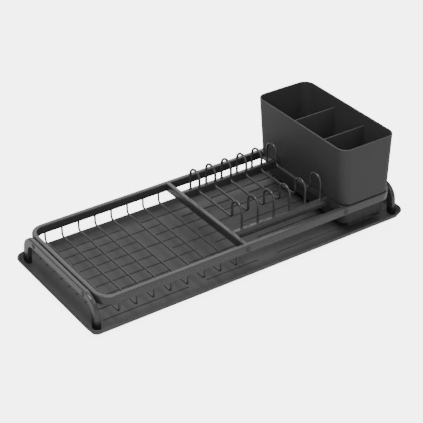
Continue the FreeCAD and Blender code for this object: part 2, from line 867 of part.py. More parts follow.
def cutlery_holder():
    """Tapered bin with three compartments, stepped in below to hang inside the frame."""
    body = new_body("cutlery_holder")
    wall, seat, top = CELL.holder_wall, CELL.frame_top, CELL.holder_top
    block = lean_walls(body, pad(body, bin_outline(body), top - seat, "bin_block"))

    def is_upright(edge):
        return edge.BoundBox.ZLength > (top - seat).value / 2

    rounded = dress_edges(
        body, "Fillet", block, is_upright, "bin_corners", "Radius", CELL.holder_corner
    )
    doc.recompute()
    shell = body.newObject("PartDesign::Thickness", "bin_shell")
    shell.Base = (rounded, [face_at(rounded.Shape, "Z", top)])
    bind(shell, "Value", wall)
    shell.Reversed = True
    hanging = tub_outline(body, "tub_outside", CELL.tub_bottom)
    pad(body, hanging, seat - CELL.tub_bottom, "tub_block")
    hollow = tub_outline(body, "tub_inside", CELL.tub_bottom + wall, wall)
    pocket_upwards(body, hollow, seat - CELL.tub_bottom, "tub_space")
    for side in SIDES:
        partition(body, side)

    drains = new_sketch(body, "XY_Plane", "drains")
    middle = (CELL.tub_left + CELL.holder_seat_right) / 2
    compartment = (CELL.tub_depth / 2 - wall + CELL.partition_place) / 2
    for number in range(DRAINS_IN_COMPARTMENT):
        offset = number - (DRAINS_IN_COMPARTMENT - 1) / 2
        slot(
            drains,
            middle - CELL.drain_length / 2,
            middle + CELL.drain_length / 2,
            CELL.drain_pitch * offset - compartment,
            CELL.drain_width,
        )
    cut = pocket_upwards(body, drains, CELL.tub_bottom + wall, "drain_row")
    repeat_along_y(body, cut, compartment, COMPARTMENTS, "drain_rows")
    return body


def build():
    """Build every piece and return them in the order of the assembly."""
    pieces = [drip_tray(), tray_pads(), frame_ring()]
    pieces += cross_bars()
    pieces += plate_rails()
    pieces += basket_wires()
    pieces += plate_wires()
    legs = {-1: leg("left_leg", -1), 1: leg("right_leg", 1)}
    pieces += legs.values()
    pieces += foot_caps(legs)
    pieces += [leg_spacers(), leg_rivets(), bar_screws(), cutlery_holder()]
    doc.recompute()
    return pieces


def check_document():
    """Stop if any object of the document failed to build."""
    for item in doc.Objects:
        bad = [state for state in item.State if state in ("Invalid", "Error")]
        if bad:
            raise RuntimeError(f"{item.Label} is {bad[0]}: {item.getStatusString()}")


def export(pieces):
    """Check each piece and write it under its label."""
    os.makedirs("parts", exist_ok=True)
    for piece in pieces:
        shape = piece.Shape
        if shape.isNull() or not shape.isValid():
            raise RuntimeError(f"{piece.Label} has no valid shape")
        if not shape.Solids:
            raise RuntimeError(f"{piece.Label} has no solid")
        shape.exportStep(f"parts/{piece.Label}.step")
        box = shape.BoundBox
        print(
            f"{piece.Label}: {len(shape.Solids)} solid(s), {shape.Volume / 1000:.2f} cm3,"
            f" x {box.XMin:.1f} to {box.XMax:.1f}, y {box.YMin:.1f} to {box.YMax:.1f},"
            f" z {box.ZMin:.1f} to {box.ZMax:.1f}"
        )


all_pieces = build()
check_document()
export(all_pieces)
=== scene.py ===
"""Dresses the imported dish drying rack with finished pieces, materials, light and a camera.

Sizes in the classes are in millimetres, and every mesh is written in metres, in the
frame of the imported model: X along the rack, Y from front to back, Z up.
"""

import logging
import math
from dataclasses import dataclass, field
from enum import Enum
from typing import Any, Iterable, Sequence

import bmesh
import bpy
from mathutils import Matrix, Vector

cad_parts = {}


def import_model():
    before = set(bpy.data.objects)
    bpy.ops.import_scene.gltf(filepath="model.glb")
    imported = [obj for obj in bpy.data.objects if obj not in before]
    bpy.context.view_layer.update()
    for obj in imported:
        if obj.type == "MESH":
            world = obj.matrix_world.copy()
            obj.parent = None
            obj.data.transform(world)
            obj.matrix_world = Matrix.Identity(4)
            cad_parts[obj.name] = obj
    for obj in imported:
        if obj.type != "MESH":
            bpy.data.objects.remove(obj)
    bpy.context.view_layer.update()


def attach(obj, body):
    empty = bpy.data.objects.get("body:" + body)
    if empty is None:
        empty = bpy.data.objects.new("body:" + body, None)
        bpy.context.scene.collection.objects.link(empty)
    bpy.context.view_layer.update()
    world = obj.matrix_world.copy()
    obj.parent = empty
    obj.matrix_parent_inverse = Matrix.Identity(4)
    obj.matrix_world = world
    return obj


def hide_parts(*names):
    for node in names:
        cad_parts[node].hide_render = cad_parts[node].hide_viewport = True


LOG = logging.getLogger("dish_rack")
MM = 0.001

Flat = tuple[float, float]
Box = tuple[float, float, float, float]
Place = tuple[float, float, float]
Ring = list[Place]
Station = tuple[Vector, Vector, Vector]
UP = (0.0, 0.0, 1.0)
DOWN = (0.0, 0.0, -1.0)
BEND_STEPS = 9
GROOVE_SIDES = 20


class Body(Enum):
    """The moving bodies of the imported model."""

    TRAY = "tray"
    RACK = "rack"
    HOLDER = "holder"


class Slot(Enum):
    """The record's material slots."""

    TRAY = "tray_plastic"
    STEEL = "coated_steel"
    RUBBER = "rubber"
    HOLDER = "holder_plastic"


def rounded_outline(box: Box, corner: float, steps: int) -> list[Flat]:
    """Lists the points of a rectangle with round corners, anticlockwise.

    Args:
        box: Left, right, front and back of the rectangle.
        corner: Radius of the corners.
        steps: Number of edges in each corner.

    Returns:
        The points, from the right front corner on.
    """
    left, right, front, back = box
    centres = (
        (right - corner, front + corner, -90),
        (right - corner, back - corner, 0),
        (left + corner, back - corner, 90),
        (left + corner, front + corner, 180),
    )
    points = []
    for across, along, first in centres:
        for step in range(steps + 1):
            angle = math.radians(first + 90 * step / steps)
            points.append((across + corner * math.cos(angle), along + corner * math.sin(angle)))
    return points


def lifted(outline: Iterable[Flat], height: float) -> Ring:
    """Returns a flat outline as a ring at one height."""
    return [(across, along, height) for across, along in outline]


def level_ring(box: Box, inset: float, corner: float, height: float, steps: int) -> Ring:
    """Returns a rounded rectangle as a ring at a height, its sides drawn in by an inset."""
    left, right, front, back = box
    smaller = (left + inset, right - inset, front + inset, back - inset)
    return lifted(rounded_outline(smaller, corner, steps), height)


def new_object(name: str, mesh: bpy.types.Mesh) -> bpy.types.Object:
    """Puts a mesh into the scene as an object at the origin."""
    made = bpy.data.objects.new(name, mesh)
    bpy.context.scene.collection.objects.link(made)
    return made


def smooth(mesh: bpy.types.Mesh, angle: float = 34.0) -> None:
    """Shades a mesh smooth, and keeps edges sharper than an angle in degrees."""
    mesh.shade_smooth()
    mesh.set_sharp_from_angle(angle=math.radians(angle))


def mesh_from(
    name: str, points: Sequence[Place], faces: Sequence[Sequence[int]], edges: Sequence[Any] = ()
) -> bpy.types.Mesh:
    """Makes a mesh from points in millimetres.

    Args:
        name: Name of the mesh.
        points: Places of its vertices.
        faces: Vertex numbers of each face.
        edges: Vertex numbers of loose edges.

    Returns:
        The mesh, in metres.
    """
    mesh = bpy.data.meshes.new(name)
    scaled = [(x * MM, y * MM, z * MM) for x, y, z in points]
    mesh.from_pydata(scaled, list(edges), [list(face) for face in faces])
    mesh.update()
    return mesh


def loft_rings(name: str, rings: Sequence[Ring], loop: bool = False) -> bpy.types.Object:
    """Joins rings of equal counts into one closed shell.

    Args:
        name: Name of the object.
        rings: The rings in order.
        loop: Whether the last ring joins the first; otherwise both ends are capped.

    Returns:
        The object, its faces pointing outwards.
    """
    count = len(rings[0])
    points = [point for ring in rings for point in ring]
    faces: list[list[int]] = []
    spans = len(rings) if loop else len(rings) - 1
    for level in range(spans):
        low, high = level * count, (level + 1) % len(rings) * count
        for number in range(count):
            following = (number + 1) % count
            faces.append([low + number, low + following, high + following, high + number])
    if not loop:
        faces.append(list(reversed(range(count))))
        faces.append(list(range(len(points) - count, len(points))))
    mesh = mesh_from(name, points, faces)
    shell = bmesh.new()
    shell.from_mesh(mesh)
    bmesh.ops.recalc_face_normals(shell, faces=shell.faces)
    shell.to_mesh(mesh)
    shell.free()
    smooth(mesh)
    return new_object(name, mesh)


def sweep(
    name: str, stations: Sequence[Station], section: Sequence[Flat], loop: bool = False
) -> bpy.types.Object:
    """Sweeps a section through stations.

    Args:
        name: Name of the object.
        stations: Centre, direction across and direction up of each station.
        section: Points of the section, across and up.
        loop: Whether the path closes on itself.

    Returns:
        The swept object.
    """
    rings = []
    for centre, across, up in stations:
        rings.append([tuple(centre + across * u + up * v) for u, v in section])
    return loft_rings(name, rings, loop)


def bar_section(width: float, height: float, edge: float) -> list[Flat]:
    """Returns the rounded section of a flat bar, centred."""
    return rounded_outline((-width / 2, width / 2, -height / 2, height / 2), edge, steps=4)


def lathe(name: str, profile: Sequence[Flat], turns: int = 32) -> bpy.types.Object:
    """Turns a profile round the Z axis.

    Args:
        name: Name of the object.
        profile: Radius and height of each point, none of them on the axis.
        turns: Number of steps round the axis.

    Returns:
        The turned object, capped at both ends.
    """
    rings = []
    for radius, height in profile:
        angles = [2 * math.pi * step / turns for step in range(turns)]
        rings.append([(radius * math.cos(a), radius * math.sin(a), height) for a in angles])
    return loft_rings(name, rings)


def join(name: str, pieces: Sequence[bpy.types.Object]) -> bpy.types.Object:
    """Joins objects into one mesh and removes them."""
    whole = bmesh.new()
    for piece in pieces:
        whole.from_mesh(piece.data)
    mesh = bpy.data.meshes.new(name)
    whole.to_mesh(mesh)
    whole.free()
    for piece in pieces:
        bpy.data.objects.remove(piece)
    smooth(mesh)
    return new_object(name, mesh)


def evaluated(piece: bpy.types.Object) -> bpy.types.Mesh:
    """Returns the mesh of an object with its modifiers carried out."""
    graph = bpy.context.evaluated_depsgraph_get()
    return bpy.data.meshes.new_from_object(piece.evaluated_get(graph), depsgraph=graph)


class Graph:
    """A node tree that is written down node by node."""

    def __init__(self, tree: bpy.types.NodeTree, family: str) -> None:
        """Takes a tree, and the start of its nodes' type names, such as ShaderNode."""
        self.tree = tree
        self.family = family

    def fill(self, node: bpy.types.Node, inputs: dict[Any, Any]) -> None:
        """Sets the inputs of a node.

        Args:
            node: The node.
            inputs: Value, output socket or list of output sockets for each input, which
                goes by its name or number.
        """
        for label, given in inputs.items():
            for value in given if isinstance(given, list) else [given]:
                if isinstance(value, bpy.types.NodeSocket):
                    self.tree.links.new(value, node.inputs[label])
                else:
                    node.inputs[label].default_value = value

    def add(self, kind: str, result: Any, inputs: dict[Any, Any], **settings: Any) -> Any:
        """Adds a node.

        Args:
            kind: Type of the node, in full or without the start that the tree's nodes share.
            result: Name or number of the output that is wanted.
            inputs: What goes into each of its inputs, as for fill.
            **settings: Properties of the node.

        Returns:
            The output socket that is wanted.
        """
        in_full = kind.startswith(("Function", "Shader"))
        node = self.tree.nodes.new(kind if in_full else self.family + kind)
        for label, value in settings.items():
            setattr(node, label, value)
        self.fill(node, inputs)
        return node.outputs[result]

    def end(self, results: dict[str, Any]) -> None:
        """Hands sockets to the outputs of the tree."""
        self.fill(self.tree.nodes.new("NodeGroupOutput"), results)


class Recipe(Graph):
    """A Geometry Nodes tree with named inputs, run on a mesh and then taken off it."""

    def __init__(self, name: str, inputs: dict[str, str]) -> None:
        """Starts the tree, with the kind of each named input, such as Float or Object."""
        super().__init__(bpy.data.node_groups.new(name, "GeometryNodeTree"), "GeometryNode")
        sockets = self.tree.interface
        sockets.new_socket("Geometry", in_out="INPUT", socket_type="NodeSocketGeometry")
        self.keys: dict[str, str] = {}
        for label, kind in {**inputs, "Material": "Material"}.items():
            made = sockets.new_socket(label, in_out="INPUT", socket_type=f"NodeSocket{kind}")
            self.keys[label] = made.identifier
        sockets.new_socket("Geometry", in_out="OUTPUT", socket_type="NodeSocketGeometry")
        self.given = self.tree.nodes.new("NodeGroupInput").outputs

    def finish(self, geometry: bpy.types.NodeSocket) -> None:
        """Ends the tree: real geometry with its material."""
        real = self.add("RealizeInstances", "Geometry", {"Geometry": geometry})
        dress = {"Geometry": real, "Material": self.given["Material"]}
        self.end({"Geometry": self.add("SetMaterial", "Geometry", dress)})

    def run(
        self, name: str, start: bpy.types.Object, values: dict[str, Any]
    ) -> bpy.types.Object:
        """Runs the tree on an object and returns the plain result in its place."""
        modifier = start.modifiers.new(self.tree.name, "NODES")
        modifier.node_group = self.tree
        for label, value in values.items():
            modifier[self.keys[label]] = value
        start.update_tag()
        mesh = evaluated(start)
        start.modifiers.remove(modifier)
        bpy.data.objects.remove(start)
        mesh.name = name
        smooth(mesh)
        return new_object(name, mesh)


def wire_recipe() -> Recipe:
    """Builds the tree that bends a wire along corners and sets out a row of such wires."""
    recipe = Recipe(
        "wire_row", {"Diameter": "Float", "Count": "Int", "Spacing": "Float", "Sides": "Int"}
    )
    add, given = recipe.add, recipe.given
    line = add("MeshToCurve", "Curve", {"Mesh": given["Geometry"]})
    bend = add("InputNamedAttribute", "Attribute", {"Name": "bend"}, data_type="FLOAT")
    corners = {"Curve": line, "Count": BEND_STEPS, "Radius": bend}
    bent = add("FilletCurve", "Curve", corners, mode="POLY")
    half = add("ShaderNodeMath", 0, {0: given["Diameter"], 1: 0.5}, operation="MULTIPLY")
    section = {"Resolution": given["Sides"], "Radius": half}
    circle = add("CurvePrimitiveCircle", "Curve", section)
    swept = {"Curve": bent, "Profile Curve": circle, "Fill Caps": True}
    wire = add("CurveToMesh", "Mesh", swept)
    step = add("ShaderNodeCombineXYZ", "Vector", {"X": given["Spacing"]})
    row = add("MeshLine", "Mesh", {"Count": given["Count"], "Offset": step}, mode="OFFSET")
    recipe.finish(add("InstanceOnPoints", "Instances", {"Points": row, "Instance": wire}))
    return recipe


def fastener_recipe() -> Recipe:
    """Builds the tree that sets a small piece on each point, turned outwards."""
    recipe = Recipe("set_out", {"Piece": "Object"})
    add, given = recipe.add, recipe.given
    piece = add("ObjectInfo", "Geometry", {"Object": given["Piece"]})
    outwards = add(
        "InputNamedAttribute", "Attribute", {"Name": "outwards"}, data_type="FLOAT_VECTOR"
    )
    turn = add("FunctionNodeAlignRotationToVector", "Rotation", {"Vector": outwards}, axis="Z")
    placed = {"Points": given["Geometry"], "Instance": piece, "Rotation": turn}
    recipe.finish(add("InstanceOnPoints", "Instances", placed))
    return recipe


def groove_recipe() -> Recipe:
    """Builds the tree that cuts round-bottomed grooves along lines into a shell."""
    recipe = Recipe("grooves", {"Lines": "Object", "Radius": "Float"})
    add, given = recipe.add, recipe.given
    lines = add("ObjectInfo", "Geometry", {"Object": given["Lines"]})
    curve = add("MeshToCurve", "Curve", {"Mesh": lines})
    section = {"Resolution": GROOVE_SIDES, "Radius": given["Radius"]}
    circle = add("CurvePrimitiveCircle", "Curve", section)
    swept = {"Curve": curve, "Profile Curve": circle, "Fill Caps": True}
    tube = add("CurveToMesh", "Mesh", swept)
    around = {"Segments": GROOVE_SIDES, "Rings": GROOVE_SIDES // 2, "Radius": given["Radius"]}
    ball = add("MeshUVSphere", "Mesh", around)
    balls = add("InstanceOnPoints", "Instances", {"Points": lines, "Instance": ball})
    ends = add("RealizeInstances", "Geometry", {"Geometry": balls})
    cutter = add("JoinGeometry", "Geometry", {"Geometry": [tube, ends]})
    bodies = {"Mesh 1": given["Geometry"], "Mesh 2": cutter, "Self Intersection": True}
    recipe.finish(add("MeshBoolean", "Mesh", bodies, operation="DIFFERENCE", solver="EXACT"))
    return recipe


def points_mesh(name: str, where: Sequence[tuple[Place, Place]]) -> bpy.types.Object:
    """Makes an object of loose points that carry the direction of what is set on them."""
    mesh = mesh_from(name, [place for place, _ in where], [])
    layer = mesh.attributes.new("outwards", "FLOAT_VECTOR", "POINT")
    for number, (_, direction) in enumerate(where):
        layer.data[number].vector = direction
    return new_object(name, mesh)


def path_mesh(name: str, corners: Sequence[Place], bends: Sequence[float]) -> bpy.types.Object:
    """Makes an object of one line through corners, each with the radius of its bend."""
    edges = [(number, number + 1) for number in range(len(corners) - 1)]
    mesh = mesh_from(name, corners, [], edges)
    layer = mesh.attributes.new("bend", "FLOAT", "POINT")
    for number, bend in enumerate(bends):
        layer.data[number].value = bend * MM
    return new_object(name, mesh)


class Effects:
    """Shader groups that the finishes share, each built once."""

    def __init__(self) -> None:
        """Builds the groups."""
        self.grain = self._grain()
        # mask of rounded edges for the painted edge highlight and wear
        self.sheen_and_wear_mask = self._edge_sheen_and_wear()
        self.film = self._film()

    @staticmethod
    def _start(name: str, inputs: Sequence[str], outputs: Sequence[str]) -> tuple[Graph, Any]:
        """Starts a shader group, and returns its graph and where its inputs arrive."""
        tree = bpy.data.node_groups.new(name, "ShaderNodeTree")
        for way, labels in (("INPUT", inputs), ("OUTPUT", outputs)):
            for label in labels:
                tree.interface.new_socket(label, in_out=way, socket_type="NodeSocketFloat")
        return Graph(tree, "ShaderNode"), tree.nodes.new("NodeGroupInput").outputs

    def _grain(self) -> bpy.types.NodeTree:
        """Builds the fine grain of a moulded or powder-coated surface."""
        graph, given = self._start("surface_grain", ("Scale", "Pits"), ("Height", "Mask"))
        grid = {"Vector": graph.add("TexCoord", "Object", {}), "Scale": given["Scale"]}
        waves = graph.add("TexNoise", "Fac", {**grid, "Detail": 3.0, "Roughness": 0.6})
        cells = graph.add("TexVoronoi", "Distance", grid, feature="SMOOTH_F1")
        pits = graph.add("Math", 0, {0: cells, 1: given["Pits"]}, operation="MULTIPLY")
        height = graph.add("Math", 0, {0: waves, 1: pits}, operation="SUBTRACT")
        spread = {"Value": waves, "From Min": 0.35, "From Max": 0.65}
        graph.end({"Height": height, "Mask": graph.add("MapRange", "Result", spread)})
        return graph.tree

    def _edge_sheen_and_wear(self) -> bpy.types.NodeTree:
        """Builds the mask of rounded edges that are painted lighter: a painted edge highlight,
        broken up by noise like rubbed wear.
        """
        graph, given = self._start("edge_wear", ("Width", "Strength"), ("Mask",))
        # the bevelled normal parts from the true normal on rounded edges, which get painted
        # lighter as a highlight
        rounded = graph.add("Bevel", "Normal", {"Radius": given["Width"]}, samples=6)
        plain = graph.add("NewGeometry", "Normal", {})
        likeness = graph.add(
            "VectorMath", "Value", {0: rounded, 1: plain}, operation="DOT_PRODUCT"
        )
        spread = {"Value": likeness, "From Min": 0.995, "From Max": 0.9}
        edge = graph.add("MapRange", "Result", spread)
        places = graph.add("TexCoord", "Object", {})
        patches = graph.add("TexNoise", "Fac", {"Vector": places, "Scale": 160.0, "Detail": 4.0})
        broken = graph.add("Math", 0, {0: edge, 1: patches}, operation="MULTIPLY")
        strong = {0: broken, 1: given["Strength"]}
        graph.end({"Mask": graph.add("Math", 0, strong, operation="MULTIPLY", use_clamp=True)})
        return graph.tree

    def _film(self) -> bpy.types.NodeTree:
        """Builds the broad, faint unevenness of a matte surface."""
        graph, given = self._start("surface_film", ("Scale",), ("Mask",))
        grid = {"Vector": graph.add("TexCoord", "Object", {}), "Scale": given["Scale"]}
        broad = graph.add("TexNoise", "Fac", {**grid, "Detail": 5.0, "Distortion": 0.4})
        spread = {"Value": broad, "From Min": 0.3, "From Max": 0.7}
        graph.end({"Mask": graph.add("MapRange", "Result", spread)})
        return graph.tree


@dataclass(frozen=True)
class Finish:
    """One surface finish: its colours, gloss and the size and depth of its grain."""

    name: str
    colour: float
    film_colour: float
    # lighter colour painted on rounded edges: a painted edge highlight that also stands for wear
    sheen_and_worn_colour: float
    roughness: Flat = (0.55, 0.65)
    grain_scale: float = 1500.0
    grain_pits: float = 0.35
    grain_depth: float = 0.1
    film_scale: float = 14.0
    # width and strength of the painted edge highlight and wear
    sheen_and_wear_width: float = 0.6
    sheen_and_wear_strength: float = 0.5
    blue: float = 1.03
    specular: float = 0.28

    def tint(self, level: float) -> tuple[float, float, float, float]:
        """Returns a neutral colour with the finish's slight blue."""
        return (level, level, level * self.blue, 1.0)

    @staticmethod
    def mix(graph: Graph, share: Any, first: Any, second: Any) -> bpy.types.NodeSocket:
        """Mixes two colours, which the node takes at its inputs 6 and 7."""
        return graph.add("Mix", 2, {0: share, 6: first, 7: second}, data_type="RGBA")

    def material(self, effects: Effects) -> bpy.types.Material:
        """Builds the material, its colour, roughness and normal from nodes."""
        made = bpy.data.materials.new(self.name)
        made.use_nodes = True
        graph = Graph(made.node_tree, "ShaderNode")
        values = {"Scale": self.grain_scale, "Pits": self.grain_pits}
        grain = graph.add("Group", "Mask", values, node_tree=effects.grain)
        film = graph.add("Group", "Mask", {"Scale": self.film_scale}, node_tree=effects.film)
        # mask of rounded edges that get the lighter colour: painted edge highlight and wear
        values = {"Width": self.sheen_and_wear_width * MM, "Strength": self.sheen_and_wear_strength}
        sheen_and_wear_mask = graph.add("Group", "Mask", values, node_tree=effects.sheen_and_wear_mask)
        clean = self.mix(graph, film, self.tint(self.colour), self.tint(self.film_colour))
        # paints the lighter edge colour: a painted edge highlight, broken up like wear
        lit_and_rubbed = self.mix(graph, sheen_and_wear_mask, clean, self.tint(self.sheen_and_worn_colour))
        gloss = {"Value": grain, "To Min": self.roughness[0], "To Max": self.roughness[1]}
        bump = {"Distance": self.grain_depth * MM, "Height": grain.node.outputs["Height"]}
        surface = {
            "Specular IOR Level": self.specular,
            "Base Color": lit_and_rubbed,
            "Roughness": graph.add("MapRange", "Result", gloss),
            "Normal": graph.add("Bump", "Normal", bump),
        }
        graph.fill(graph.tree.nodes["Principled BSDF"], surface)
        return made


@dataclass
class Palette:
    """The materials of the object, one for each slot."""

    effects: Effects = field(default_factory=Effects)
    materials: dict[Slot, bpy.types.Material] = field(default_factory=dict)

    def __post_init__(self) -> None:
        """Builds each slot's material."""
        steel = {"grain_scale": 1100.0, "grain_pits": 0.2, "grain_depth": 0.07, "specular": 0.5}
        rubber = {"grain_scale": 1800.0, "grain_pits": 0.4, "grain_depth": 0.08}
        finishes = {
            # the third tone of each finish is the lighter edge colour: painted edge highlight and
            # wear
            Slot.TRAY: Finish("black_tray_plastic", 0.048, 0.054, 0.075),
            Slot.STEEL: Finish("black_powder_coat", 0.04, 0.045, 0.07, (0.2, 0.3), **steel),
            Slot.RUBBER: Finish("black_rubber", 0.016, 0.02, 0.03, (0.6, 0.75), **rubber),
            Slot.HOLDER: Finish("black_holder_plastic", 0.048, 0.053, 0.067),
        }
        for slot, finish in finishes.items():
            self.materials[slot] = finish.material(self.effects)

    def dress(self, piece: bpy.types.Object, slot: Slot) -> None:
        """Gives a piece the material of its slot."""
        piece.data.materials.clear()
        piece.data.materials.append(self.materials[slot])


@dataclass
class Workshop:
    """What every sub-assembly needs: the palette and the shared recipes."""

    palette: Palette
    wires: Recipe = field(default_factory=wire_recipe)
    fasteners: Recipe = field(default_factory=fastener_recipe)
    grooves: Recipe = field(default_factory=groove_recipe)

    def place(
        self, piece: bpy.types.Object, body: Body, slot: Slot, nodes: Sequence[str] = ()
    ) -> None:
        """Dresses a finished piece and hands it to its body.

        Args:
            piece: The piece, its place in its mesh.
            body: The body that carries it.
            slot: The material slot that it takes its finish from.
            nodes: CAD nodes that it stands for.
        """
        self.palette.dress(piece, slot)
        if nodes:
            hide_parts(*nodes)
        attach(piece, body.value)
        LOG.info("%s: %d faces on %s", piece.name, len(piece.data.polygons), body.value)

    def set_out(
        self,
        name: str,
        small: bpy.types.Object,
        where: Sequence[tuple[Place, Place]],
        body: Body,
        slot: Slot,
        nodes: Sequence[str] = (),
    ) -> None:
        """Sets a small piece on several places and hands the result to its body.

        Args:
            name: Name of the result.
            small: The small piece, its Z axis pointing outwards. It is removed.
            where: Each place, with the outward direction there.
            body: The body that carries the result.
            slot: The material slot of the result.
            nodes: CAD nodes that the result stands for.
        """
        values = {"Piece": small, "Material": self.palette.materials[slot]}
        made = self.fasteners.run(name, points_mesh(name, where), values)
        bpy.data.objects.remove(small)
        self.place(made, body, slot, nodes)


@dataclass
class DripTray:
    """The shallow tray with its grooved floor, and the pads under it."""

    length: float = 468.0
    depth: float = 194.0
    height: float = 10.0
    flare: float = 6.0
    lip_corner: float = 16.5
    base_corner: float = 8.0
    lip_width: float = 1.8
    bank: float = 5.0
    floor_top: float = 4.0
    floor_corner: float = 7.5
    least_corner: float = 5.5
    corner_steps: int = 14
    skirt_lift: float = 0.4
    hollow_inset: float = 9.5
    hollow_corner: float = 6.0
    hollow_top: float = 2.0
    groove_width: float = 3.0
    groove_depth: float = 1.5
    groove_pitch: float = 18.97
    groove_reach: float = 207.5
    rows_each_side: int = 4
    row_shift: float = 6.6
    row_bow: float = 0.32
    row_drift: float = 0.69
    stretches: tuple[Flat, ...] = ((-215.0, -89.3), (-63.9, 12.1), (39.8, 215.0))
    pad_radius: float = 6.0
    pad_place: Flat = (205.0, 70.0)

    def outer_corner(self, inset: float) -> float:
        """Returns the corner radius of the flared outside at an inset."""
        share = inset / self.flare
        return self.lip_corner + (self.base_corner - self.lip_corner) * share

    def inner_corner(self, inset: float) -> float:
        """Returns the corner radius of the bank inside at an inset."""
        share = (inset - self.lip_width) / self.bank
        mouth = self.lip_corner - self.lip_width
        return max(mouth + (self.floor_corner - mouth) * share, self.least_corner)

    def ring(self, inset: float, height: float, corner: float) -> Ring:
        """Returns the tray's outline drawn in by an inset, at a height."""
        box = (-self.length / 2, self.length / 2, -self.depth / 2, self.depth / 2)
        return level_ring(box, inset, corner, height, self.corner_steps)

    def shell(self) -> bpy.types.Object:
        """Lofts the tray from its hollow underside over the lip to the floor."""
        hollow, flare, width = self.hollow_inset, self.flare, self.lip_width
        under, lift, top, floor = self.hollow_top, self.skirt_lift, self.height, self.floor_top
        underside = (
            (hollow + 1.4, under), (hollow + 0.4, under), (hollow, under - 0.4),
            (hollow, lift + 0.4), (hollow - 0.4, lift),
        )
        outside = (
            (flare + 0.6, lift), (flare + 0.2, lift + 0.15), (flare - 0.05, lift + 0.5),
            (flare - 0.6, lift + 1.4), (0.8, top - 2.0), (0.28, top - 1.1), (0.08, top - 0.7),
            (0.04, top - 0.45), (0.16, top - 0.18), (0.42, top - 0.03), (0.7, top), (1.1, top),
        )
        inside = (
            (width - 0.35, top - 0.04), (width, top - 0.2), (width + 0.28, top - 0.5),
            (width + 0.7, top - 1.0), (width + 3.7, floor + 1.45), (width + 4.3, floor + 0.8),
            (width + 4.9, floor + 0.32), (width + 5.6, floor + 0.06), (width + 6.3, floor),
            (width + 7.3, floor),
        )
        rings = [self.ring(inset, up, self.hollow_corner) for inset, up in underside]
        rings += [self.ring(inset, up, self.outer_corner(inset)) for inset, up in outside]
        rings += [self.ring(inset, up, self.inner_corner(inset)) for inset, up in inside]
        return loft_rings("drip_tray_shell", rings)

    @property
    def groove_radius(self) -> float:
        """Radius of the round cutter that leaves a groove of the given width and depth."""
        half, deep = self.groove_width / 2, self.groove_depth
        return (half * half + deep * deep) / (2 * deep)

    def groove_lines(self) -> bpy.types.Object:
        """Draws the middle line of each groove, the rows taking turns in their stretches."""
        half, reach = self.groove_width / 2, self.groove_reach
        height = self.floor_top + self.groove_radius - self.groove_depth
        points: list[Place] = []
        edges = []
        for row in range(-self.rows_each_side, self.rows_each_side + 1):
            shift = self.row_shift - self.row_bow * row * row
            along = self.groove_pitch * row + shift
            drift = self.row_drift * shift
            for start, end in self.stretches:
                low, high = (start, end) if row % 2 == 0 else (-end, -start)
                low, high = max(low + drift, -reach), min(high + drift, reach)
                edges.append((len(points), len(points) + 1))
                points += [(low + half, along, height), (high - half, along, height)]
        return new_object("groove_lines", mesh_from("groove_lines", points, [], edges))

    def build(self, shop: Workshop) -> None:
        """Builds the tray and its pads."""
        lines = self.groove_lines()
        values = {
            "Lines": lines,
            "Radius": self.groove_radius * MM,
            "Material": shop.palette.materials[Slot.TRAY],
        }
        tray = shop.grooves.run("drip_tray_moulding", self.shell(), values)
        bpy.data.objects.remove(lines)
        shop.place(tray, Body.TRAY, Slot.TRAY, ["drip_tray"])
        radius, top = self.pad_radius, self.hollow_top
        profile = ((radius - 1.2, 0.0), (radius - 0.35, 0.1), (radius, 0.5), (radius, top))
        pad = lathe("pad", (*profile, (radius - 1.0, top)))
        across, along = self.pad_place
        where = [((x * across, y * along, 0.0), UP) for x in (-1, 1) for y in (-1, 1)]
        shop.set_out("rubber_pads", pad, where, Body.TRAY, Slot.RUBBER, ["tray_pads"])


@dataclass
class BarFrame:
    """The band of flat bar, its cross bars and rails."""

    length: float = 433.0
    depth: float = 181.0
    corner: float = 21.0
    corner_steps: int = 14
    top: float = 44.5
    width: float = 6.2
    height: float = 11.4
    edge: float = 1.2
    divider: float = -13.9
    holder_bar: float = 136.5
    rail: float = 56.0
    overlap: float = 1.1

    @property
    def middle(self) -> float:
        """Height of the middle of the bars."""
        return self.top - self.height / 2

    def section(self) -> list[Flat]:
        """Returns the section that all bars of the frame share."""
        return bar_section(self.width, self.height, self.edge)

    def band(self) -> bpy.types.Object:
        """Sweeps the band round its rounded rectangle."""
        inset = self.width / 2
        half_length, half_depth = self.length / 2 - inset, self.depth / 2 - inset
        corner = self.corner - inset
        box = (-half_length, half_length, -half_depth, half_depth)
        stations: list[Station] = []
        for across, along in rounded_outline(box, corner, self.corner_steps):
            middle_x = max(-half_length + corner, min(across, half_length - corner))
            middle_y = max(-half_depth + corner, min(along, half_depth - corner))
            outwards = Vector((across - middle_x, along - middle_y, 0)).normalized()
            stations.append((Vector((across, along, self.middle)), outwards, Vector(UP)))
        return sweep("frame_band", stations, self.section(), loop=True)

    def straight(self, name: str, start: Flat, end: Flat) -> bpy.types.Object:
        """Sweeps a straight bar between two places at the height of the frame."""
        first, last = (Vector((*place, self.middle)) for place in (start, end))
        up = Vector(UP)
        across = (last - first).normalized().cross(up)
        return sweep(name, [(first, across, up), (last, across, up)], self.section())

    def build(self, shop: Workshop) -> None:
        """Builds the band, the cross bars and the rails."""
        shop.place(self.band(), Body.RACK, Slot.STEEL, ["frame_ring"])
        reach = self.depth / 2 - self.width + self.overlap
        start = self.divider + self.width / 2 - self.overlap
        end = self.holder_bar - self.width / 2 + self.overlap
        for name, node, first, last in (
            ("divider", "divider_bar", (self.divider, -reach), (self.divider, reach)),
            ("holder_rest", "holder_bar", (self.holder_bar, -reach), (self.holder_bar, reach)),
            ("front_rail", "plate_rail_front", (start, -self.rail), (end, -self.rail)),
            ("rear_rail", "plate_rail_rear", (start, self.rail), (end, self.rail)),
        ):
            shop.place(self.straight(name, first, last), Body.RACK, Slot.STEEL, [node])


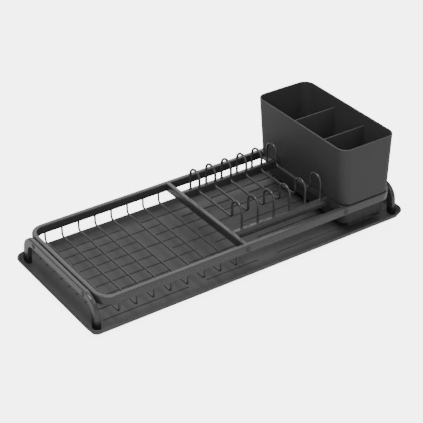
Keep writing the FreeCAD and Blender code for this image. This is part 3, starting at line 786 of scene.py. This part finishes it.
@dataclass(frozen=True)
class WireRow:
    """A row of equal wires along X."""

    name: str
    node: str
    wire: float
    first: float
    pitch: float
    count: int

    @property
    def nodes(self) -> list[str]:
        """The CAD nodes of the wires, which are numbered from one."""
        return [f"{self.node}_{number + 1}" for number in range(self.count)]

    def ends(self, along: float, height: float, outwards: Place) -> list[tuple[Place, Place]]:
        """Lists both ends of each wire, with the direction that they point in."""
        places = [self.first + self.pitch * number for number in range(self.count)]
        return [((x, side * along, height), outwards) for x in places for side in (-1, 1)]


@dataclass
class WireWork:
    """The wires of the dish basket and of the plate rack, and their welds."""

    frame: BarFrame
    basket: WireRow = WireRow("basket_floor_wires", "basket_wire", 2.4, -192.4, 23.55, 8)
    basket_floor: float = 18.6
    plates: WireRow = WireRow("plate_loop_wires", "plate_wire", 3.0, 1.1, 24.1, 6)
    plate_floor: float = 50.5
    loop_radius: float = 10.2
    loop_top: float = 77.0
    floor_bend: float = 5.0
    bury: float = 0.4
    sides: int = 16

    def row(
        self, shop: Workshop, row: WireRow, half: Sequence[tuple[float, float, float]]
    ) -> None:
        """Bends one wire through corners and their mirror images, and repeats it.

        Args:
            shop: The shared recipes.
            row: The row of wires.
            half: Depth, height and bend radius of each corner of the front half.
        """
        whole = list(half) + [(-along, up, bend) for along, up, bend in reversed(half)]
        corners = [(row.first, along, up) for along, up, _ in whole]
        start = path_mesh(row.name, corners, [bend for _, _, bend in whole])
        values = {
            "Diameter": row.wire * MM,
            "Count": row.count,
            "Spacing": row.pitch * MM,
            "Sides": self.sides,
            "Material": shop.palette.materials[Slot.STEEL],
        }
        made = shop.wires.run(row.name, start, values)
        shop.place(made, Body.RACK, Slot.STEEL, row.nodes)

    def bead(self, radius: float) -> bpy.types.Object:
        """Turns a small weld bead."""
        shares = ((1.0, 0.0), (0.98, 0.25), (0.82, 0.75), (0.6, 1.05))
        return lathe("bead", [(radius * share, rise) for share, rise in shares], turns=20)

    def build(self, shop: Workshop) -> None:
        """Builds both rows of wires and the beads that hold them."""
        reach = (self.frame.depth - self.frame.width) / 2
        top, low = self.frame.top, self.frame.top - self.frame.height
        half = [(-reach, low + self.bury, 0.0), (-reach, self.basket_floor, self.floor_bend)]
        self.row(shop, self.basket, half)
        foot, loop = self.frame.rail, self.loop_radius
        inner = foot - 2 * loop
        half = [
            (-foot, top - self.bury, 0.0),
            (-foot, self.loop_top, loop),
            (-inner, self.loop_top, loop),
            (-inner, self.plate_floor, self.floor_bend),
        ]
        self.row(shop, self.plates, half)
        for name, share, row, where in (
            ("basket_welds", 0.72, self.basket, (reach, low, DOWN)),
            ("plate_welds", 0.7, self.plates, (foot, top, UP)),
        ):
            bead = self.bead(row.wire * share)
            shop.set_out(name, bead, row.ends(*where), Body.RACK, Slot.STEEL)


@dataclass
class Legs:
    """The two arched legs with their caps, spacers, rivets and the frame's screws."""

    frame: BarFrame
    thickness: float = 6.0
    gap: float = 1.0
    lean: float = 7.0
    reach: float = 82.35
    bend: float = 16.4
    bend_steps: int = 14
    bottom: float = 6.0
    cap_size: Place = (7.6, 13.6, 11.0)
    cap_corner: float = 3.0
    cap_steps: int = 8
    cap_floor: float = 4.0
    rivet_place: float = 59.0
    head_radius: float = 3.4
    head_crown: float = 1.4
    spacer_radius: float = 4.5

    @property
    def place(self) -> float:
        """Distance of a leg's middle from the middle of the rack."""
        return self.frame.length / 2 + self.gap + self.thickness / 2

    def half_path(self) -> list[tuple[Flat, Flat]]:
        """Lists depth and height, and the outward direction, from a foot to the level run."""
        lean, height = math.radians(self.lean), self.frame.middle
        shoulder = self.reach - (height - self.bottom) * math.tan(lean)
        cut = self.bend * math.tan((math.pi / 2 - lean) / 2)
        run = shoulder - cut
        stations = [((self.reach, self.bottom), (math.cos(lean), math.sin(lean)))]
        for step in range(self.bend_steps + 1):
            angle = lean + (math.pi / 2 - lean) * step / self.bend_steps
            along, up = math.cos(angle), math.sin(angle)
            place = (run + self.bend * along, height - self.bend + self.bend * up)
            stations.append((place, (along, up)))
        return stations

    def leg(self, name: str, side: int) -> bpy.types.Object:
        """Sweeps one leg."""
        rear = [(1, *station) for station in self.half_path()]
        front = [(-1, *station) for _, *station in reversed(rear)]
        stations: list[Station] = []
        for way, (along, up), (out_along, out_up) in rear + front:
            centre = Vector((side * self.place, way * along, up))
            outwards = Vector((0, way * out_along, out_up))
            stations.append((centre, Vector((1, 0, 0)), outwards))
        section = bar_section(self.thickness, self.frame.height, self.frame.edge)
        return sweep(name, stations, section)

    def cap(self, name: str, side_x: int, side_y: int) -> bpy.types.Object:
        """Lofts one rubber cap with soft edges and a rolled lip."""
        middle_x, middle_y = side_x * self.place, side_y * self.reach
        half_x, half_y = self.cap_size[0] / 2, self.cap_size[1] / 2
        box = (middle_x - half_x, middle_x + half_x, middle_y - half_y, middle_y + half_y)
        floor, top = self.cap_floor, self.cap_floor + self.cap_size[2]
        profile = (
            (1.4, floor), (0.6, floor + 0.1), (0.25, floor + 0.45), (0.2, floor + 1.0),
            (0.2, top - 2.6), (0.12, top - 2.2), (0.0, top - 1.9), (0.0, top - 0.7),
            (0.12, top - 0.3), (0.45, top - 0.06), (0.9, top), (1.4, top),
        )
        rings = []
        for inset, height in profile:
            corner = self.cap_corner - inset / 2
            rings.append(level_ring(box, inset, corner, height, self.cap_steps))
        return loft_rings(name, rings)

    def head(self, socket: bool) -> bpy.types.Object:
        """Turns a domed head in a thin collar, with a round socket where it is a screw."""
        collar, dome, crown = self.head_radius, self.head_radius - 0.9, self.head_crown
        profile = [
            (collar - 0.2, -0.3), (collar, -0.1), (collar, 0.3), (collar - 0.15, 0.45),
            (collar - 0.35, 0.45), (collar - 0.5, 0.3), (collar - 0.55, -0.1),
            (dome, -0.1), (dome, 0.35),
        ]
        for angle in (15, 30, 45, 58):
            turn = math.radians(angle)
            profile.append((dome * math.cos(turn), 0.35 + (crown - 0.35) * math.sin(turn)))
        if socket:
            profile += [(1.2, crown - 0.04), (1.1, crown - 0.1)]
            profile += [(1.05, crown - 0.45), (0.4, crown - 0.5)]
        else:
            profile += [(0.7, crown - 0.02), (0.4, crown)]
        return lathe("head", profile, turns=36)

    def build(self, shop: Workshop) -> None:
        """Builds the legs and everything that holds them."""
        for name, node, side in (("leg_left", "left_leg", -1), ("leg_right", "right_leg", 1)):
            shop.place(self.leg(name, side), Body.RACK, Slot.STEEL, [node])
        for side_x, side_name in ((-1, "left"), (1, "right")):
            for side_y, depth_name in ((-1, "front"), (1, "rear")):
                name = f"{depth_name}_{side_name}"
                cap = self.cap(f"rubber_foot_{name}", side_x, side_y)
                shop.place(cap, Body.RACK, Slot.RUBBER, [f"foot_cap_{name}"])
        middle, face, gap = self.frame.middle, self.frame.length / 2, self.gap
        ring, outer = self.spacer_radius, self.place + self.thickness / 2
        washer = ((ring - 0.5, 0.0), (ring, 0.15), (ring, gap - 0.15), (ring - 0.5, gap))

        def beside(distance: float) -> list[tuple[Place, Place]]:
            """Lists where the legs are held, at a distance from the middle of the rack."""
            return [
                ((x * distance, y * self.rivet_place, middle), (float(x), 0.0, 0.0))
                for x in (-1, 1)
                for y in (-1, 1)
            ]

        before = [
            ((bar, side * self.frame.depth / 2, middle), (0.0, float(side), 0.0))
            for bar in (self.frame.divider, self.frame.holder_bar)
            for side in (-1, 1)
        ]
        for name, node, small, where in (
            ("leg_washers", "leg_spacers", lathe("washer", washer), beside(face)),
            ("leg_rivet_heads", "leg_rivets", self.head(False), beside(outer)),
            ("band_screw_heads", "bar_screws", self.head(True), before),
        ):
            shop.set_out(name, small, where, Body.RACK, Slot.STEEL, [node])


@dataclass
class CutleryHolder:
    """The tapered bin with two partitions, stepped in below to hang in the frame."""

    top: float = 126.5
    seat: float = 44.5
    bottom: float = 12.0
    rim: tuple[float, float, float] = (126.4, 212.0, 180.8)
    base: tuple[float, float, float] = (133.2, 210.2, 179.0)
    tub: tuple[float, float, float] = (141.0, 208.8, 166.0)
    corner: float = 14.0
    tub_corner: float = 12.0
    least_corner: float = 2.0
    corner_steps: int = 12
    wall: float = 2.0
    partition: float = 30.0
    partition_thickness: float = 1.8
    partition_top: float = 111.8
    drain_width: float = 3.0
    drain_length: float = 40.0
    drain_pitch: float = 12.0
    drain_steps: int = 6
    drains: int = 4

    def size_at(self, height: float) -> tuple[float, float, float]:
        """Returns left, right and depth of the bin's outside at a height."""
        share = (height - self.seat) / (self.top - self.seat)
        left, right, depth = (
            low + (high - low) * share for low, high in zip(self.base, self.rim)
        )
        return left, right, depth

    def bin_ring(self, height: float, inset: float, ends: float = 0.0) -> Ring:
        """Returns the bin's outline at a height, drawn in, and further at its two ends."""
        left, right, depth = self.size_at(height)
        box = (left, right, ends - depth / 2, depth / 2 - ends)
        corner = max(self.corner - inset, self.least_corner)
        return level_ring(box, inset, corner, height, self.corner_steps)

    def tub_ring(self, height: float, inset: float) -> Ring:
        """Returns the outline of the lower part at a height, drawn in by an inset."""
        left, right, depth = self.tub
        corner = max(self.tub_corner - inset, self.least_corner)
        box = (left, right, -depth / 2, depth / 2)
        return level_ring(box, inset, corner, height, self.corner_steps)

    def shell(self) -> bpy.types.Object:
        """Lofts the bin from the tub's underside over the rim down to the tub's floor."""
        low, seat, top, wall = self.bottom, self.seat, self.top, self.wall
        tub_outside = (
            (low, 2.6), (low, 1.6), (low + 0.2, 0.8), (low + 0.8, 0.2), (low + 1.6, 0.0),
            (low + 2.6, 0.0), (seat - 1.0, 0.0), (seat, 0.0),
        )
        bin_outside: tuple[tuple[float, ...], ...] = (
            (seat, 1.4, 2.0), (seat + 0.1, 0.6, 2.0), (seat + 0.5, 0.2, 1.5),
            (seat + 1.1, 0.0, 0.6), (seat + 1.8, 0.0, 0.15), (seat + 2.6, 0.0),
            (top - 1.8, 0.0), (top - 0.6, 0.0), (top - 0.22, 0.14), (top - 0.03, 0.45),
            (top, 0.8), (top, 1.2), (top - 0.03, wall - 0.45), (top - 0.22, wall - 0.14),
            (top - 0.6, wall), (top - 1.8, wall),
        )
        step = seat + wall
        bin_inside = (
            (step + 2.6, wall), (step + 1.2, wall + 0.05), (step + 0.5, wall + 0.3),
            (step, wall + 1.0), (step, wall + 1.4),
        )
        floor = low + wall
        tub_inside = (
            (step, wall - 0.6), (step - 0.2, wall - 0.1), (step - 0.8, wall),
            (floor + 2.8, wall), (floor + 1.4, wall + 0.05), (floor + 0.5, wall + 0.4),
            (floor, wall + 1.3), (floor, wall + 2.3),
        )
        rings = [self.tub_ring(height, inset) for height, inset in tub_outside]
        rings += [self.bin_ring(*place) for place in bin_outside + bin_inside]
        rings += [self.tub_ring(height, inset) for height, inset in tub_inside]
        return loft_rings("holder_shell", rings)

    def web(self, side: int) -> bpy.types.Object:
        """Lofts one partition with a rounded top edge."""
        half, bury = self.partition_thickness / 2, self.wall / 2
        place, seat, top = side * self.partition, self.seat, self.partition_top
        profile = (
            (self.bottom + bury, 0.0), (seat - 0.1, 0.0), (seat + bury, 0.0),
            (top - 0.8, 0.0), (top - 0.3, 0.12), (top - 0.05, 0.4), (top, 0.62),
        )
        rings = []
        for height, thin in profile:
            left, right, _ = self.tub if height < seat else self.size_at(height)
            left, right = left + bury, right - bury
            front, back = place - half + thin, place + half - thin
            outline = ((left, front), (right, front), (right, back), (left, back))
            rings.append(lifted(outline, height))
        return loft_rings("partition", rings)

    def drain_cutters(self) -> bpy.types.Object:
        """Makes the rounded blocks that cut the drain slots through the tub's floor."""
        middle = (self.tub[0] + self.tub[1]) / 2
        pitch = (self.tub[2] / 2 - self.wall + self.partition) / 2
        half_length, half_width = self.drain_length / 2, self.drain_width / 2
        heights = (self.bottom - 2.0, self.bottom + self.wall + 2.0)
        left, right, corner = middle - half_length, middle + half_length, half_width - 0.01
        cutters = []
        for compartment in (-1, 0, 1):
            for number in range(self.drains):
                offset = (number - (self.drains - 1) / 2) * self.drain_pitch
                along = compartment * pitch + offset
                box = (left, right, along - half_width, along + half_width)
                outline = rounded_outline(box, corner, self.drain_steps)
                cutters.append(loft_rings("drain", [lifted(outline, up) for up in heights]))
        return join("drain_cutters", cutters)

    def build(self, shop: Workshop) -> None:
        """Builds the holder as one moulding."""
        shell = self.shell()
        cutters = self.drain_cutters()
        cut = shell.modifiers.new("drains", "BOOLEAN")
        cut.object = cutters
        cut.operation = "DIFFERENCE"
        cut.solver = "EXACT"
        pierced = new_object("holder_pierced", evaluated(shell))
        bpy.data.objects.remove(shell)
        bpy.data.objects.remove(cutters)
        holder = join("cutlery_bin", [pierced, self.web(-1), self.web(1)])
        shop.place(holder, Body.HOLDER, Slot.HOLDER, ["cutlery_holder"])


@dataclass
class Studio:
    """The pale floor, the soft light and the camera at the photograph's angle."""

    lens: float = 116.17
    pitch: float = 32.131
    yaw: float = 34.684
    roll: float = 0.288
    camera_place: Place = (-0.82215, -1.18086, 0.94398)
    floor_reach: float = 40.0
    floor_tones: Flat = (0.39, 0.41)
    floor_glow: float = 5.0
    floor_lift: float = 0.56
    sky: float = 0.31
    lamps: tuple[tuple[str, Place, float, float], ...] = (
        ("soft_top", (-0.2, 0.0, 1.9), 1.0, 38.0),
        ("soft_back", (1.05, 1.55, 1.2), 1.6, 13.0),
        ("soft_right", (0.9, -1.1, 1.6), 0.9, 5.0),
        ("soft_left", (-0.9, -1.5, 1.0), 1.2, 9.0),
    )

    def camera(self) -> None:
        """Sets up the camera from the fitted angles."""
        pitch, yaw, roll = (math.radians(v) for v in (self.pitch, self.yaw, self.roll))
        ahead = Vector(
            (math.sin(yaw) * math.cos(pitch), math.cos(yaw) * math.cos(pitch), -math.sin(pitch))
        )
        right = Vector((math.cos(yaw), -math.sin(yaw), 0))
        up = right.cross(ahead)
        across = right * math.cos(roll) + up * math.sin(roll)
        above = up * math.cos(roll) - right * math.sin(roll)
        turn = Matrix((across, above, -ahead)).transposed().to_4x4()
        data = bpy.data.cameras.new("camera")
        data.lens = self.lens
        data.sensor_width = 36.0
        made = bpy.data.objects.new("camera", data)
        made.matrix_world = Matrix.Translation(self.camera_place) @ turn
        bpy.context.scene.collection.objects.link(made)
        bpy.context.scene.camera = made

    def floor(self) -> None:
        """Lays the pale floor."""
        reach = self.floor_reach
        corners = [(-reach, -reach, 0), (reach, -reach, 0), (reach, reach, 0), (-reach, reach, 0)]
        mesh = bpy.data.meshes.new("floor")
        mesh.from_pydata(corners, [], [(0, 1, 2, 3)])
        made = new_object("floor", mesh)
        surface = bpy.data.materials.new("pale_floor")
        surface.use_nodes = True
        graph = Graph(surface.node_tree, "ShaderNode")
        places = graph.add("TexCoord", "Object", {})
        noise = graph.add("TexNoise", "Fac", {"Vector": places, "Scale": 3.0})
        low, high = self.floor_tones
        tone = graph.add("MapRange", "Result", {"Value": noise, "To Min": low, "To Max": high})
        seen = graph.add("LightPath", "Is Camera Ray", {})
        glow = {"Value": seen, "To Min": self.floor_lift, "To Max": self.floor_glow}
        paint = {
            "Roughness": 0.7,
            "Specular IOR Level": 0.2,
            "Base Color": tone,
            "Emission Color": (1.0, 1.0, 1.0, 1.0),
            "Emission Strength": graph.add("MapRange", "Result", glow),
        }
        graph.fill(graph.tree.nodes["Principled BSDF"], paint)
        made.data.materials.append(surface)

    def lamp(self, name: str, place: Place, size: float, power: float) -> None:
        """Hangs one square soft light that points at the rack."""
        data = bpy.data.lights.new(name, "AREA")
        data.shape = "SQUARE"
        data.size = size
        data.energy = power
        made = bpy.data.objects.new(name, data)
        aim = Vector((0, 0, 0.04)) - Vector(place)
        turn = aim.to_track_quat("-Z", "Y").to_matrix().to_4x4()
        made.matrix_world = Matrix.Translation(place) @ turn
        bpy.context.scene.collection.objects.link(made)

    def light(self) -> None:
        """Lights the scene softly all round, with more from above and behind."""
        world = bpy.data.worlds.new("studio")
        world.use_nodes = True
        sky = world.node_tree.nodes["Background"]
        sky.inputs["Color"].default_value = (1.0, 1.0, 1.0, 1.0)
        sky.inputs["Strength"].default_value = self.sky
        bpy.context.scene.world = world
        for name, place, size, power in self.lamps:
            self.lamp(name, place, size, power)

    def build(self) -> None:
        """Sets up camera, floor and light."""
        self.camera()
        self.floor()
        self.light()


def main() -> None:
    """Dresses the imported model, one sub-assembly after the other."""
    logging.basicConfig(level=logging.INFO, format="%(message)s")
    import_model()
    Studio().build()
    shop = Workshop(Palette())
    frame = BarFrame()
    for part in (DripTray(), frame, WireWork(frame), Legs(frame), CutleryHolder()):
        part.build(shop)


if __name__ == "__main__":
    main()
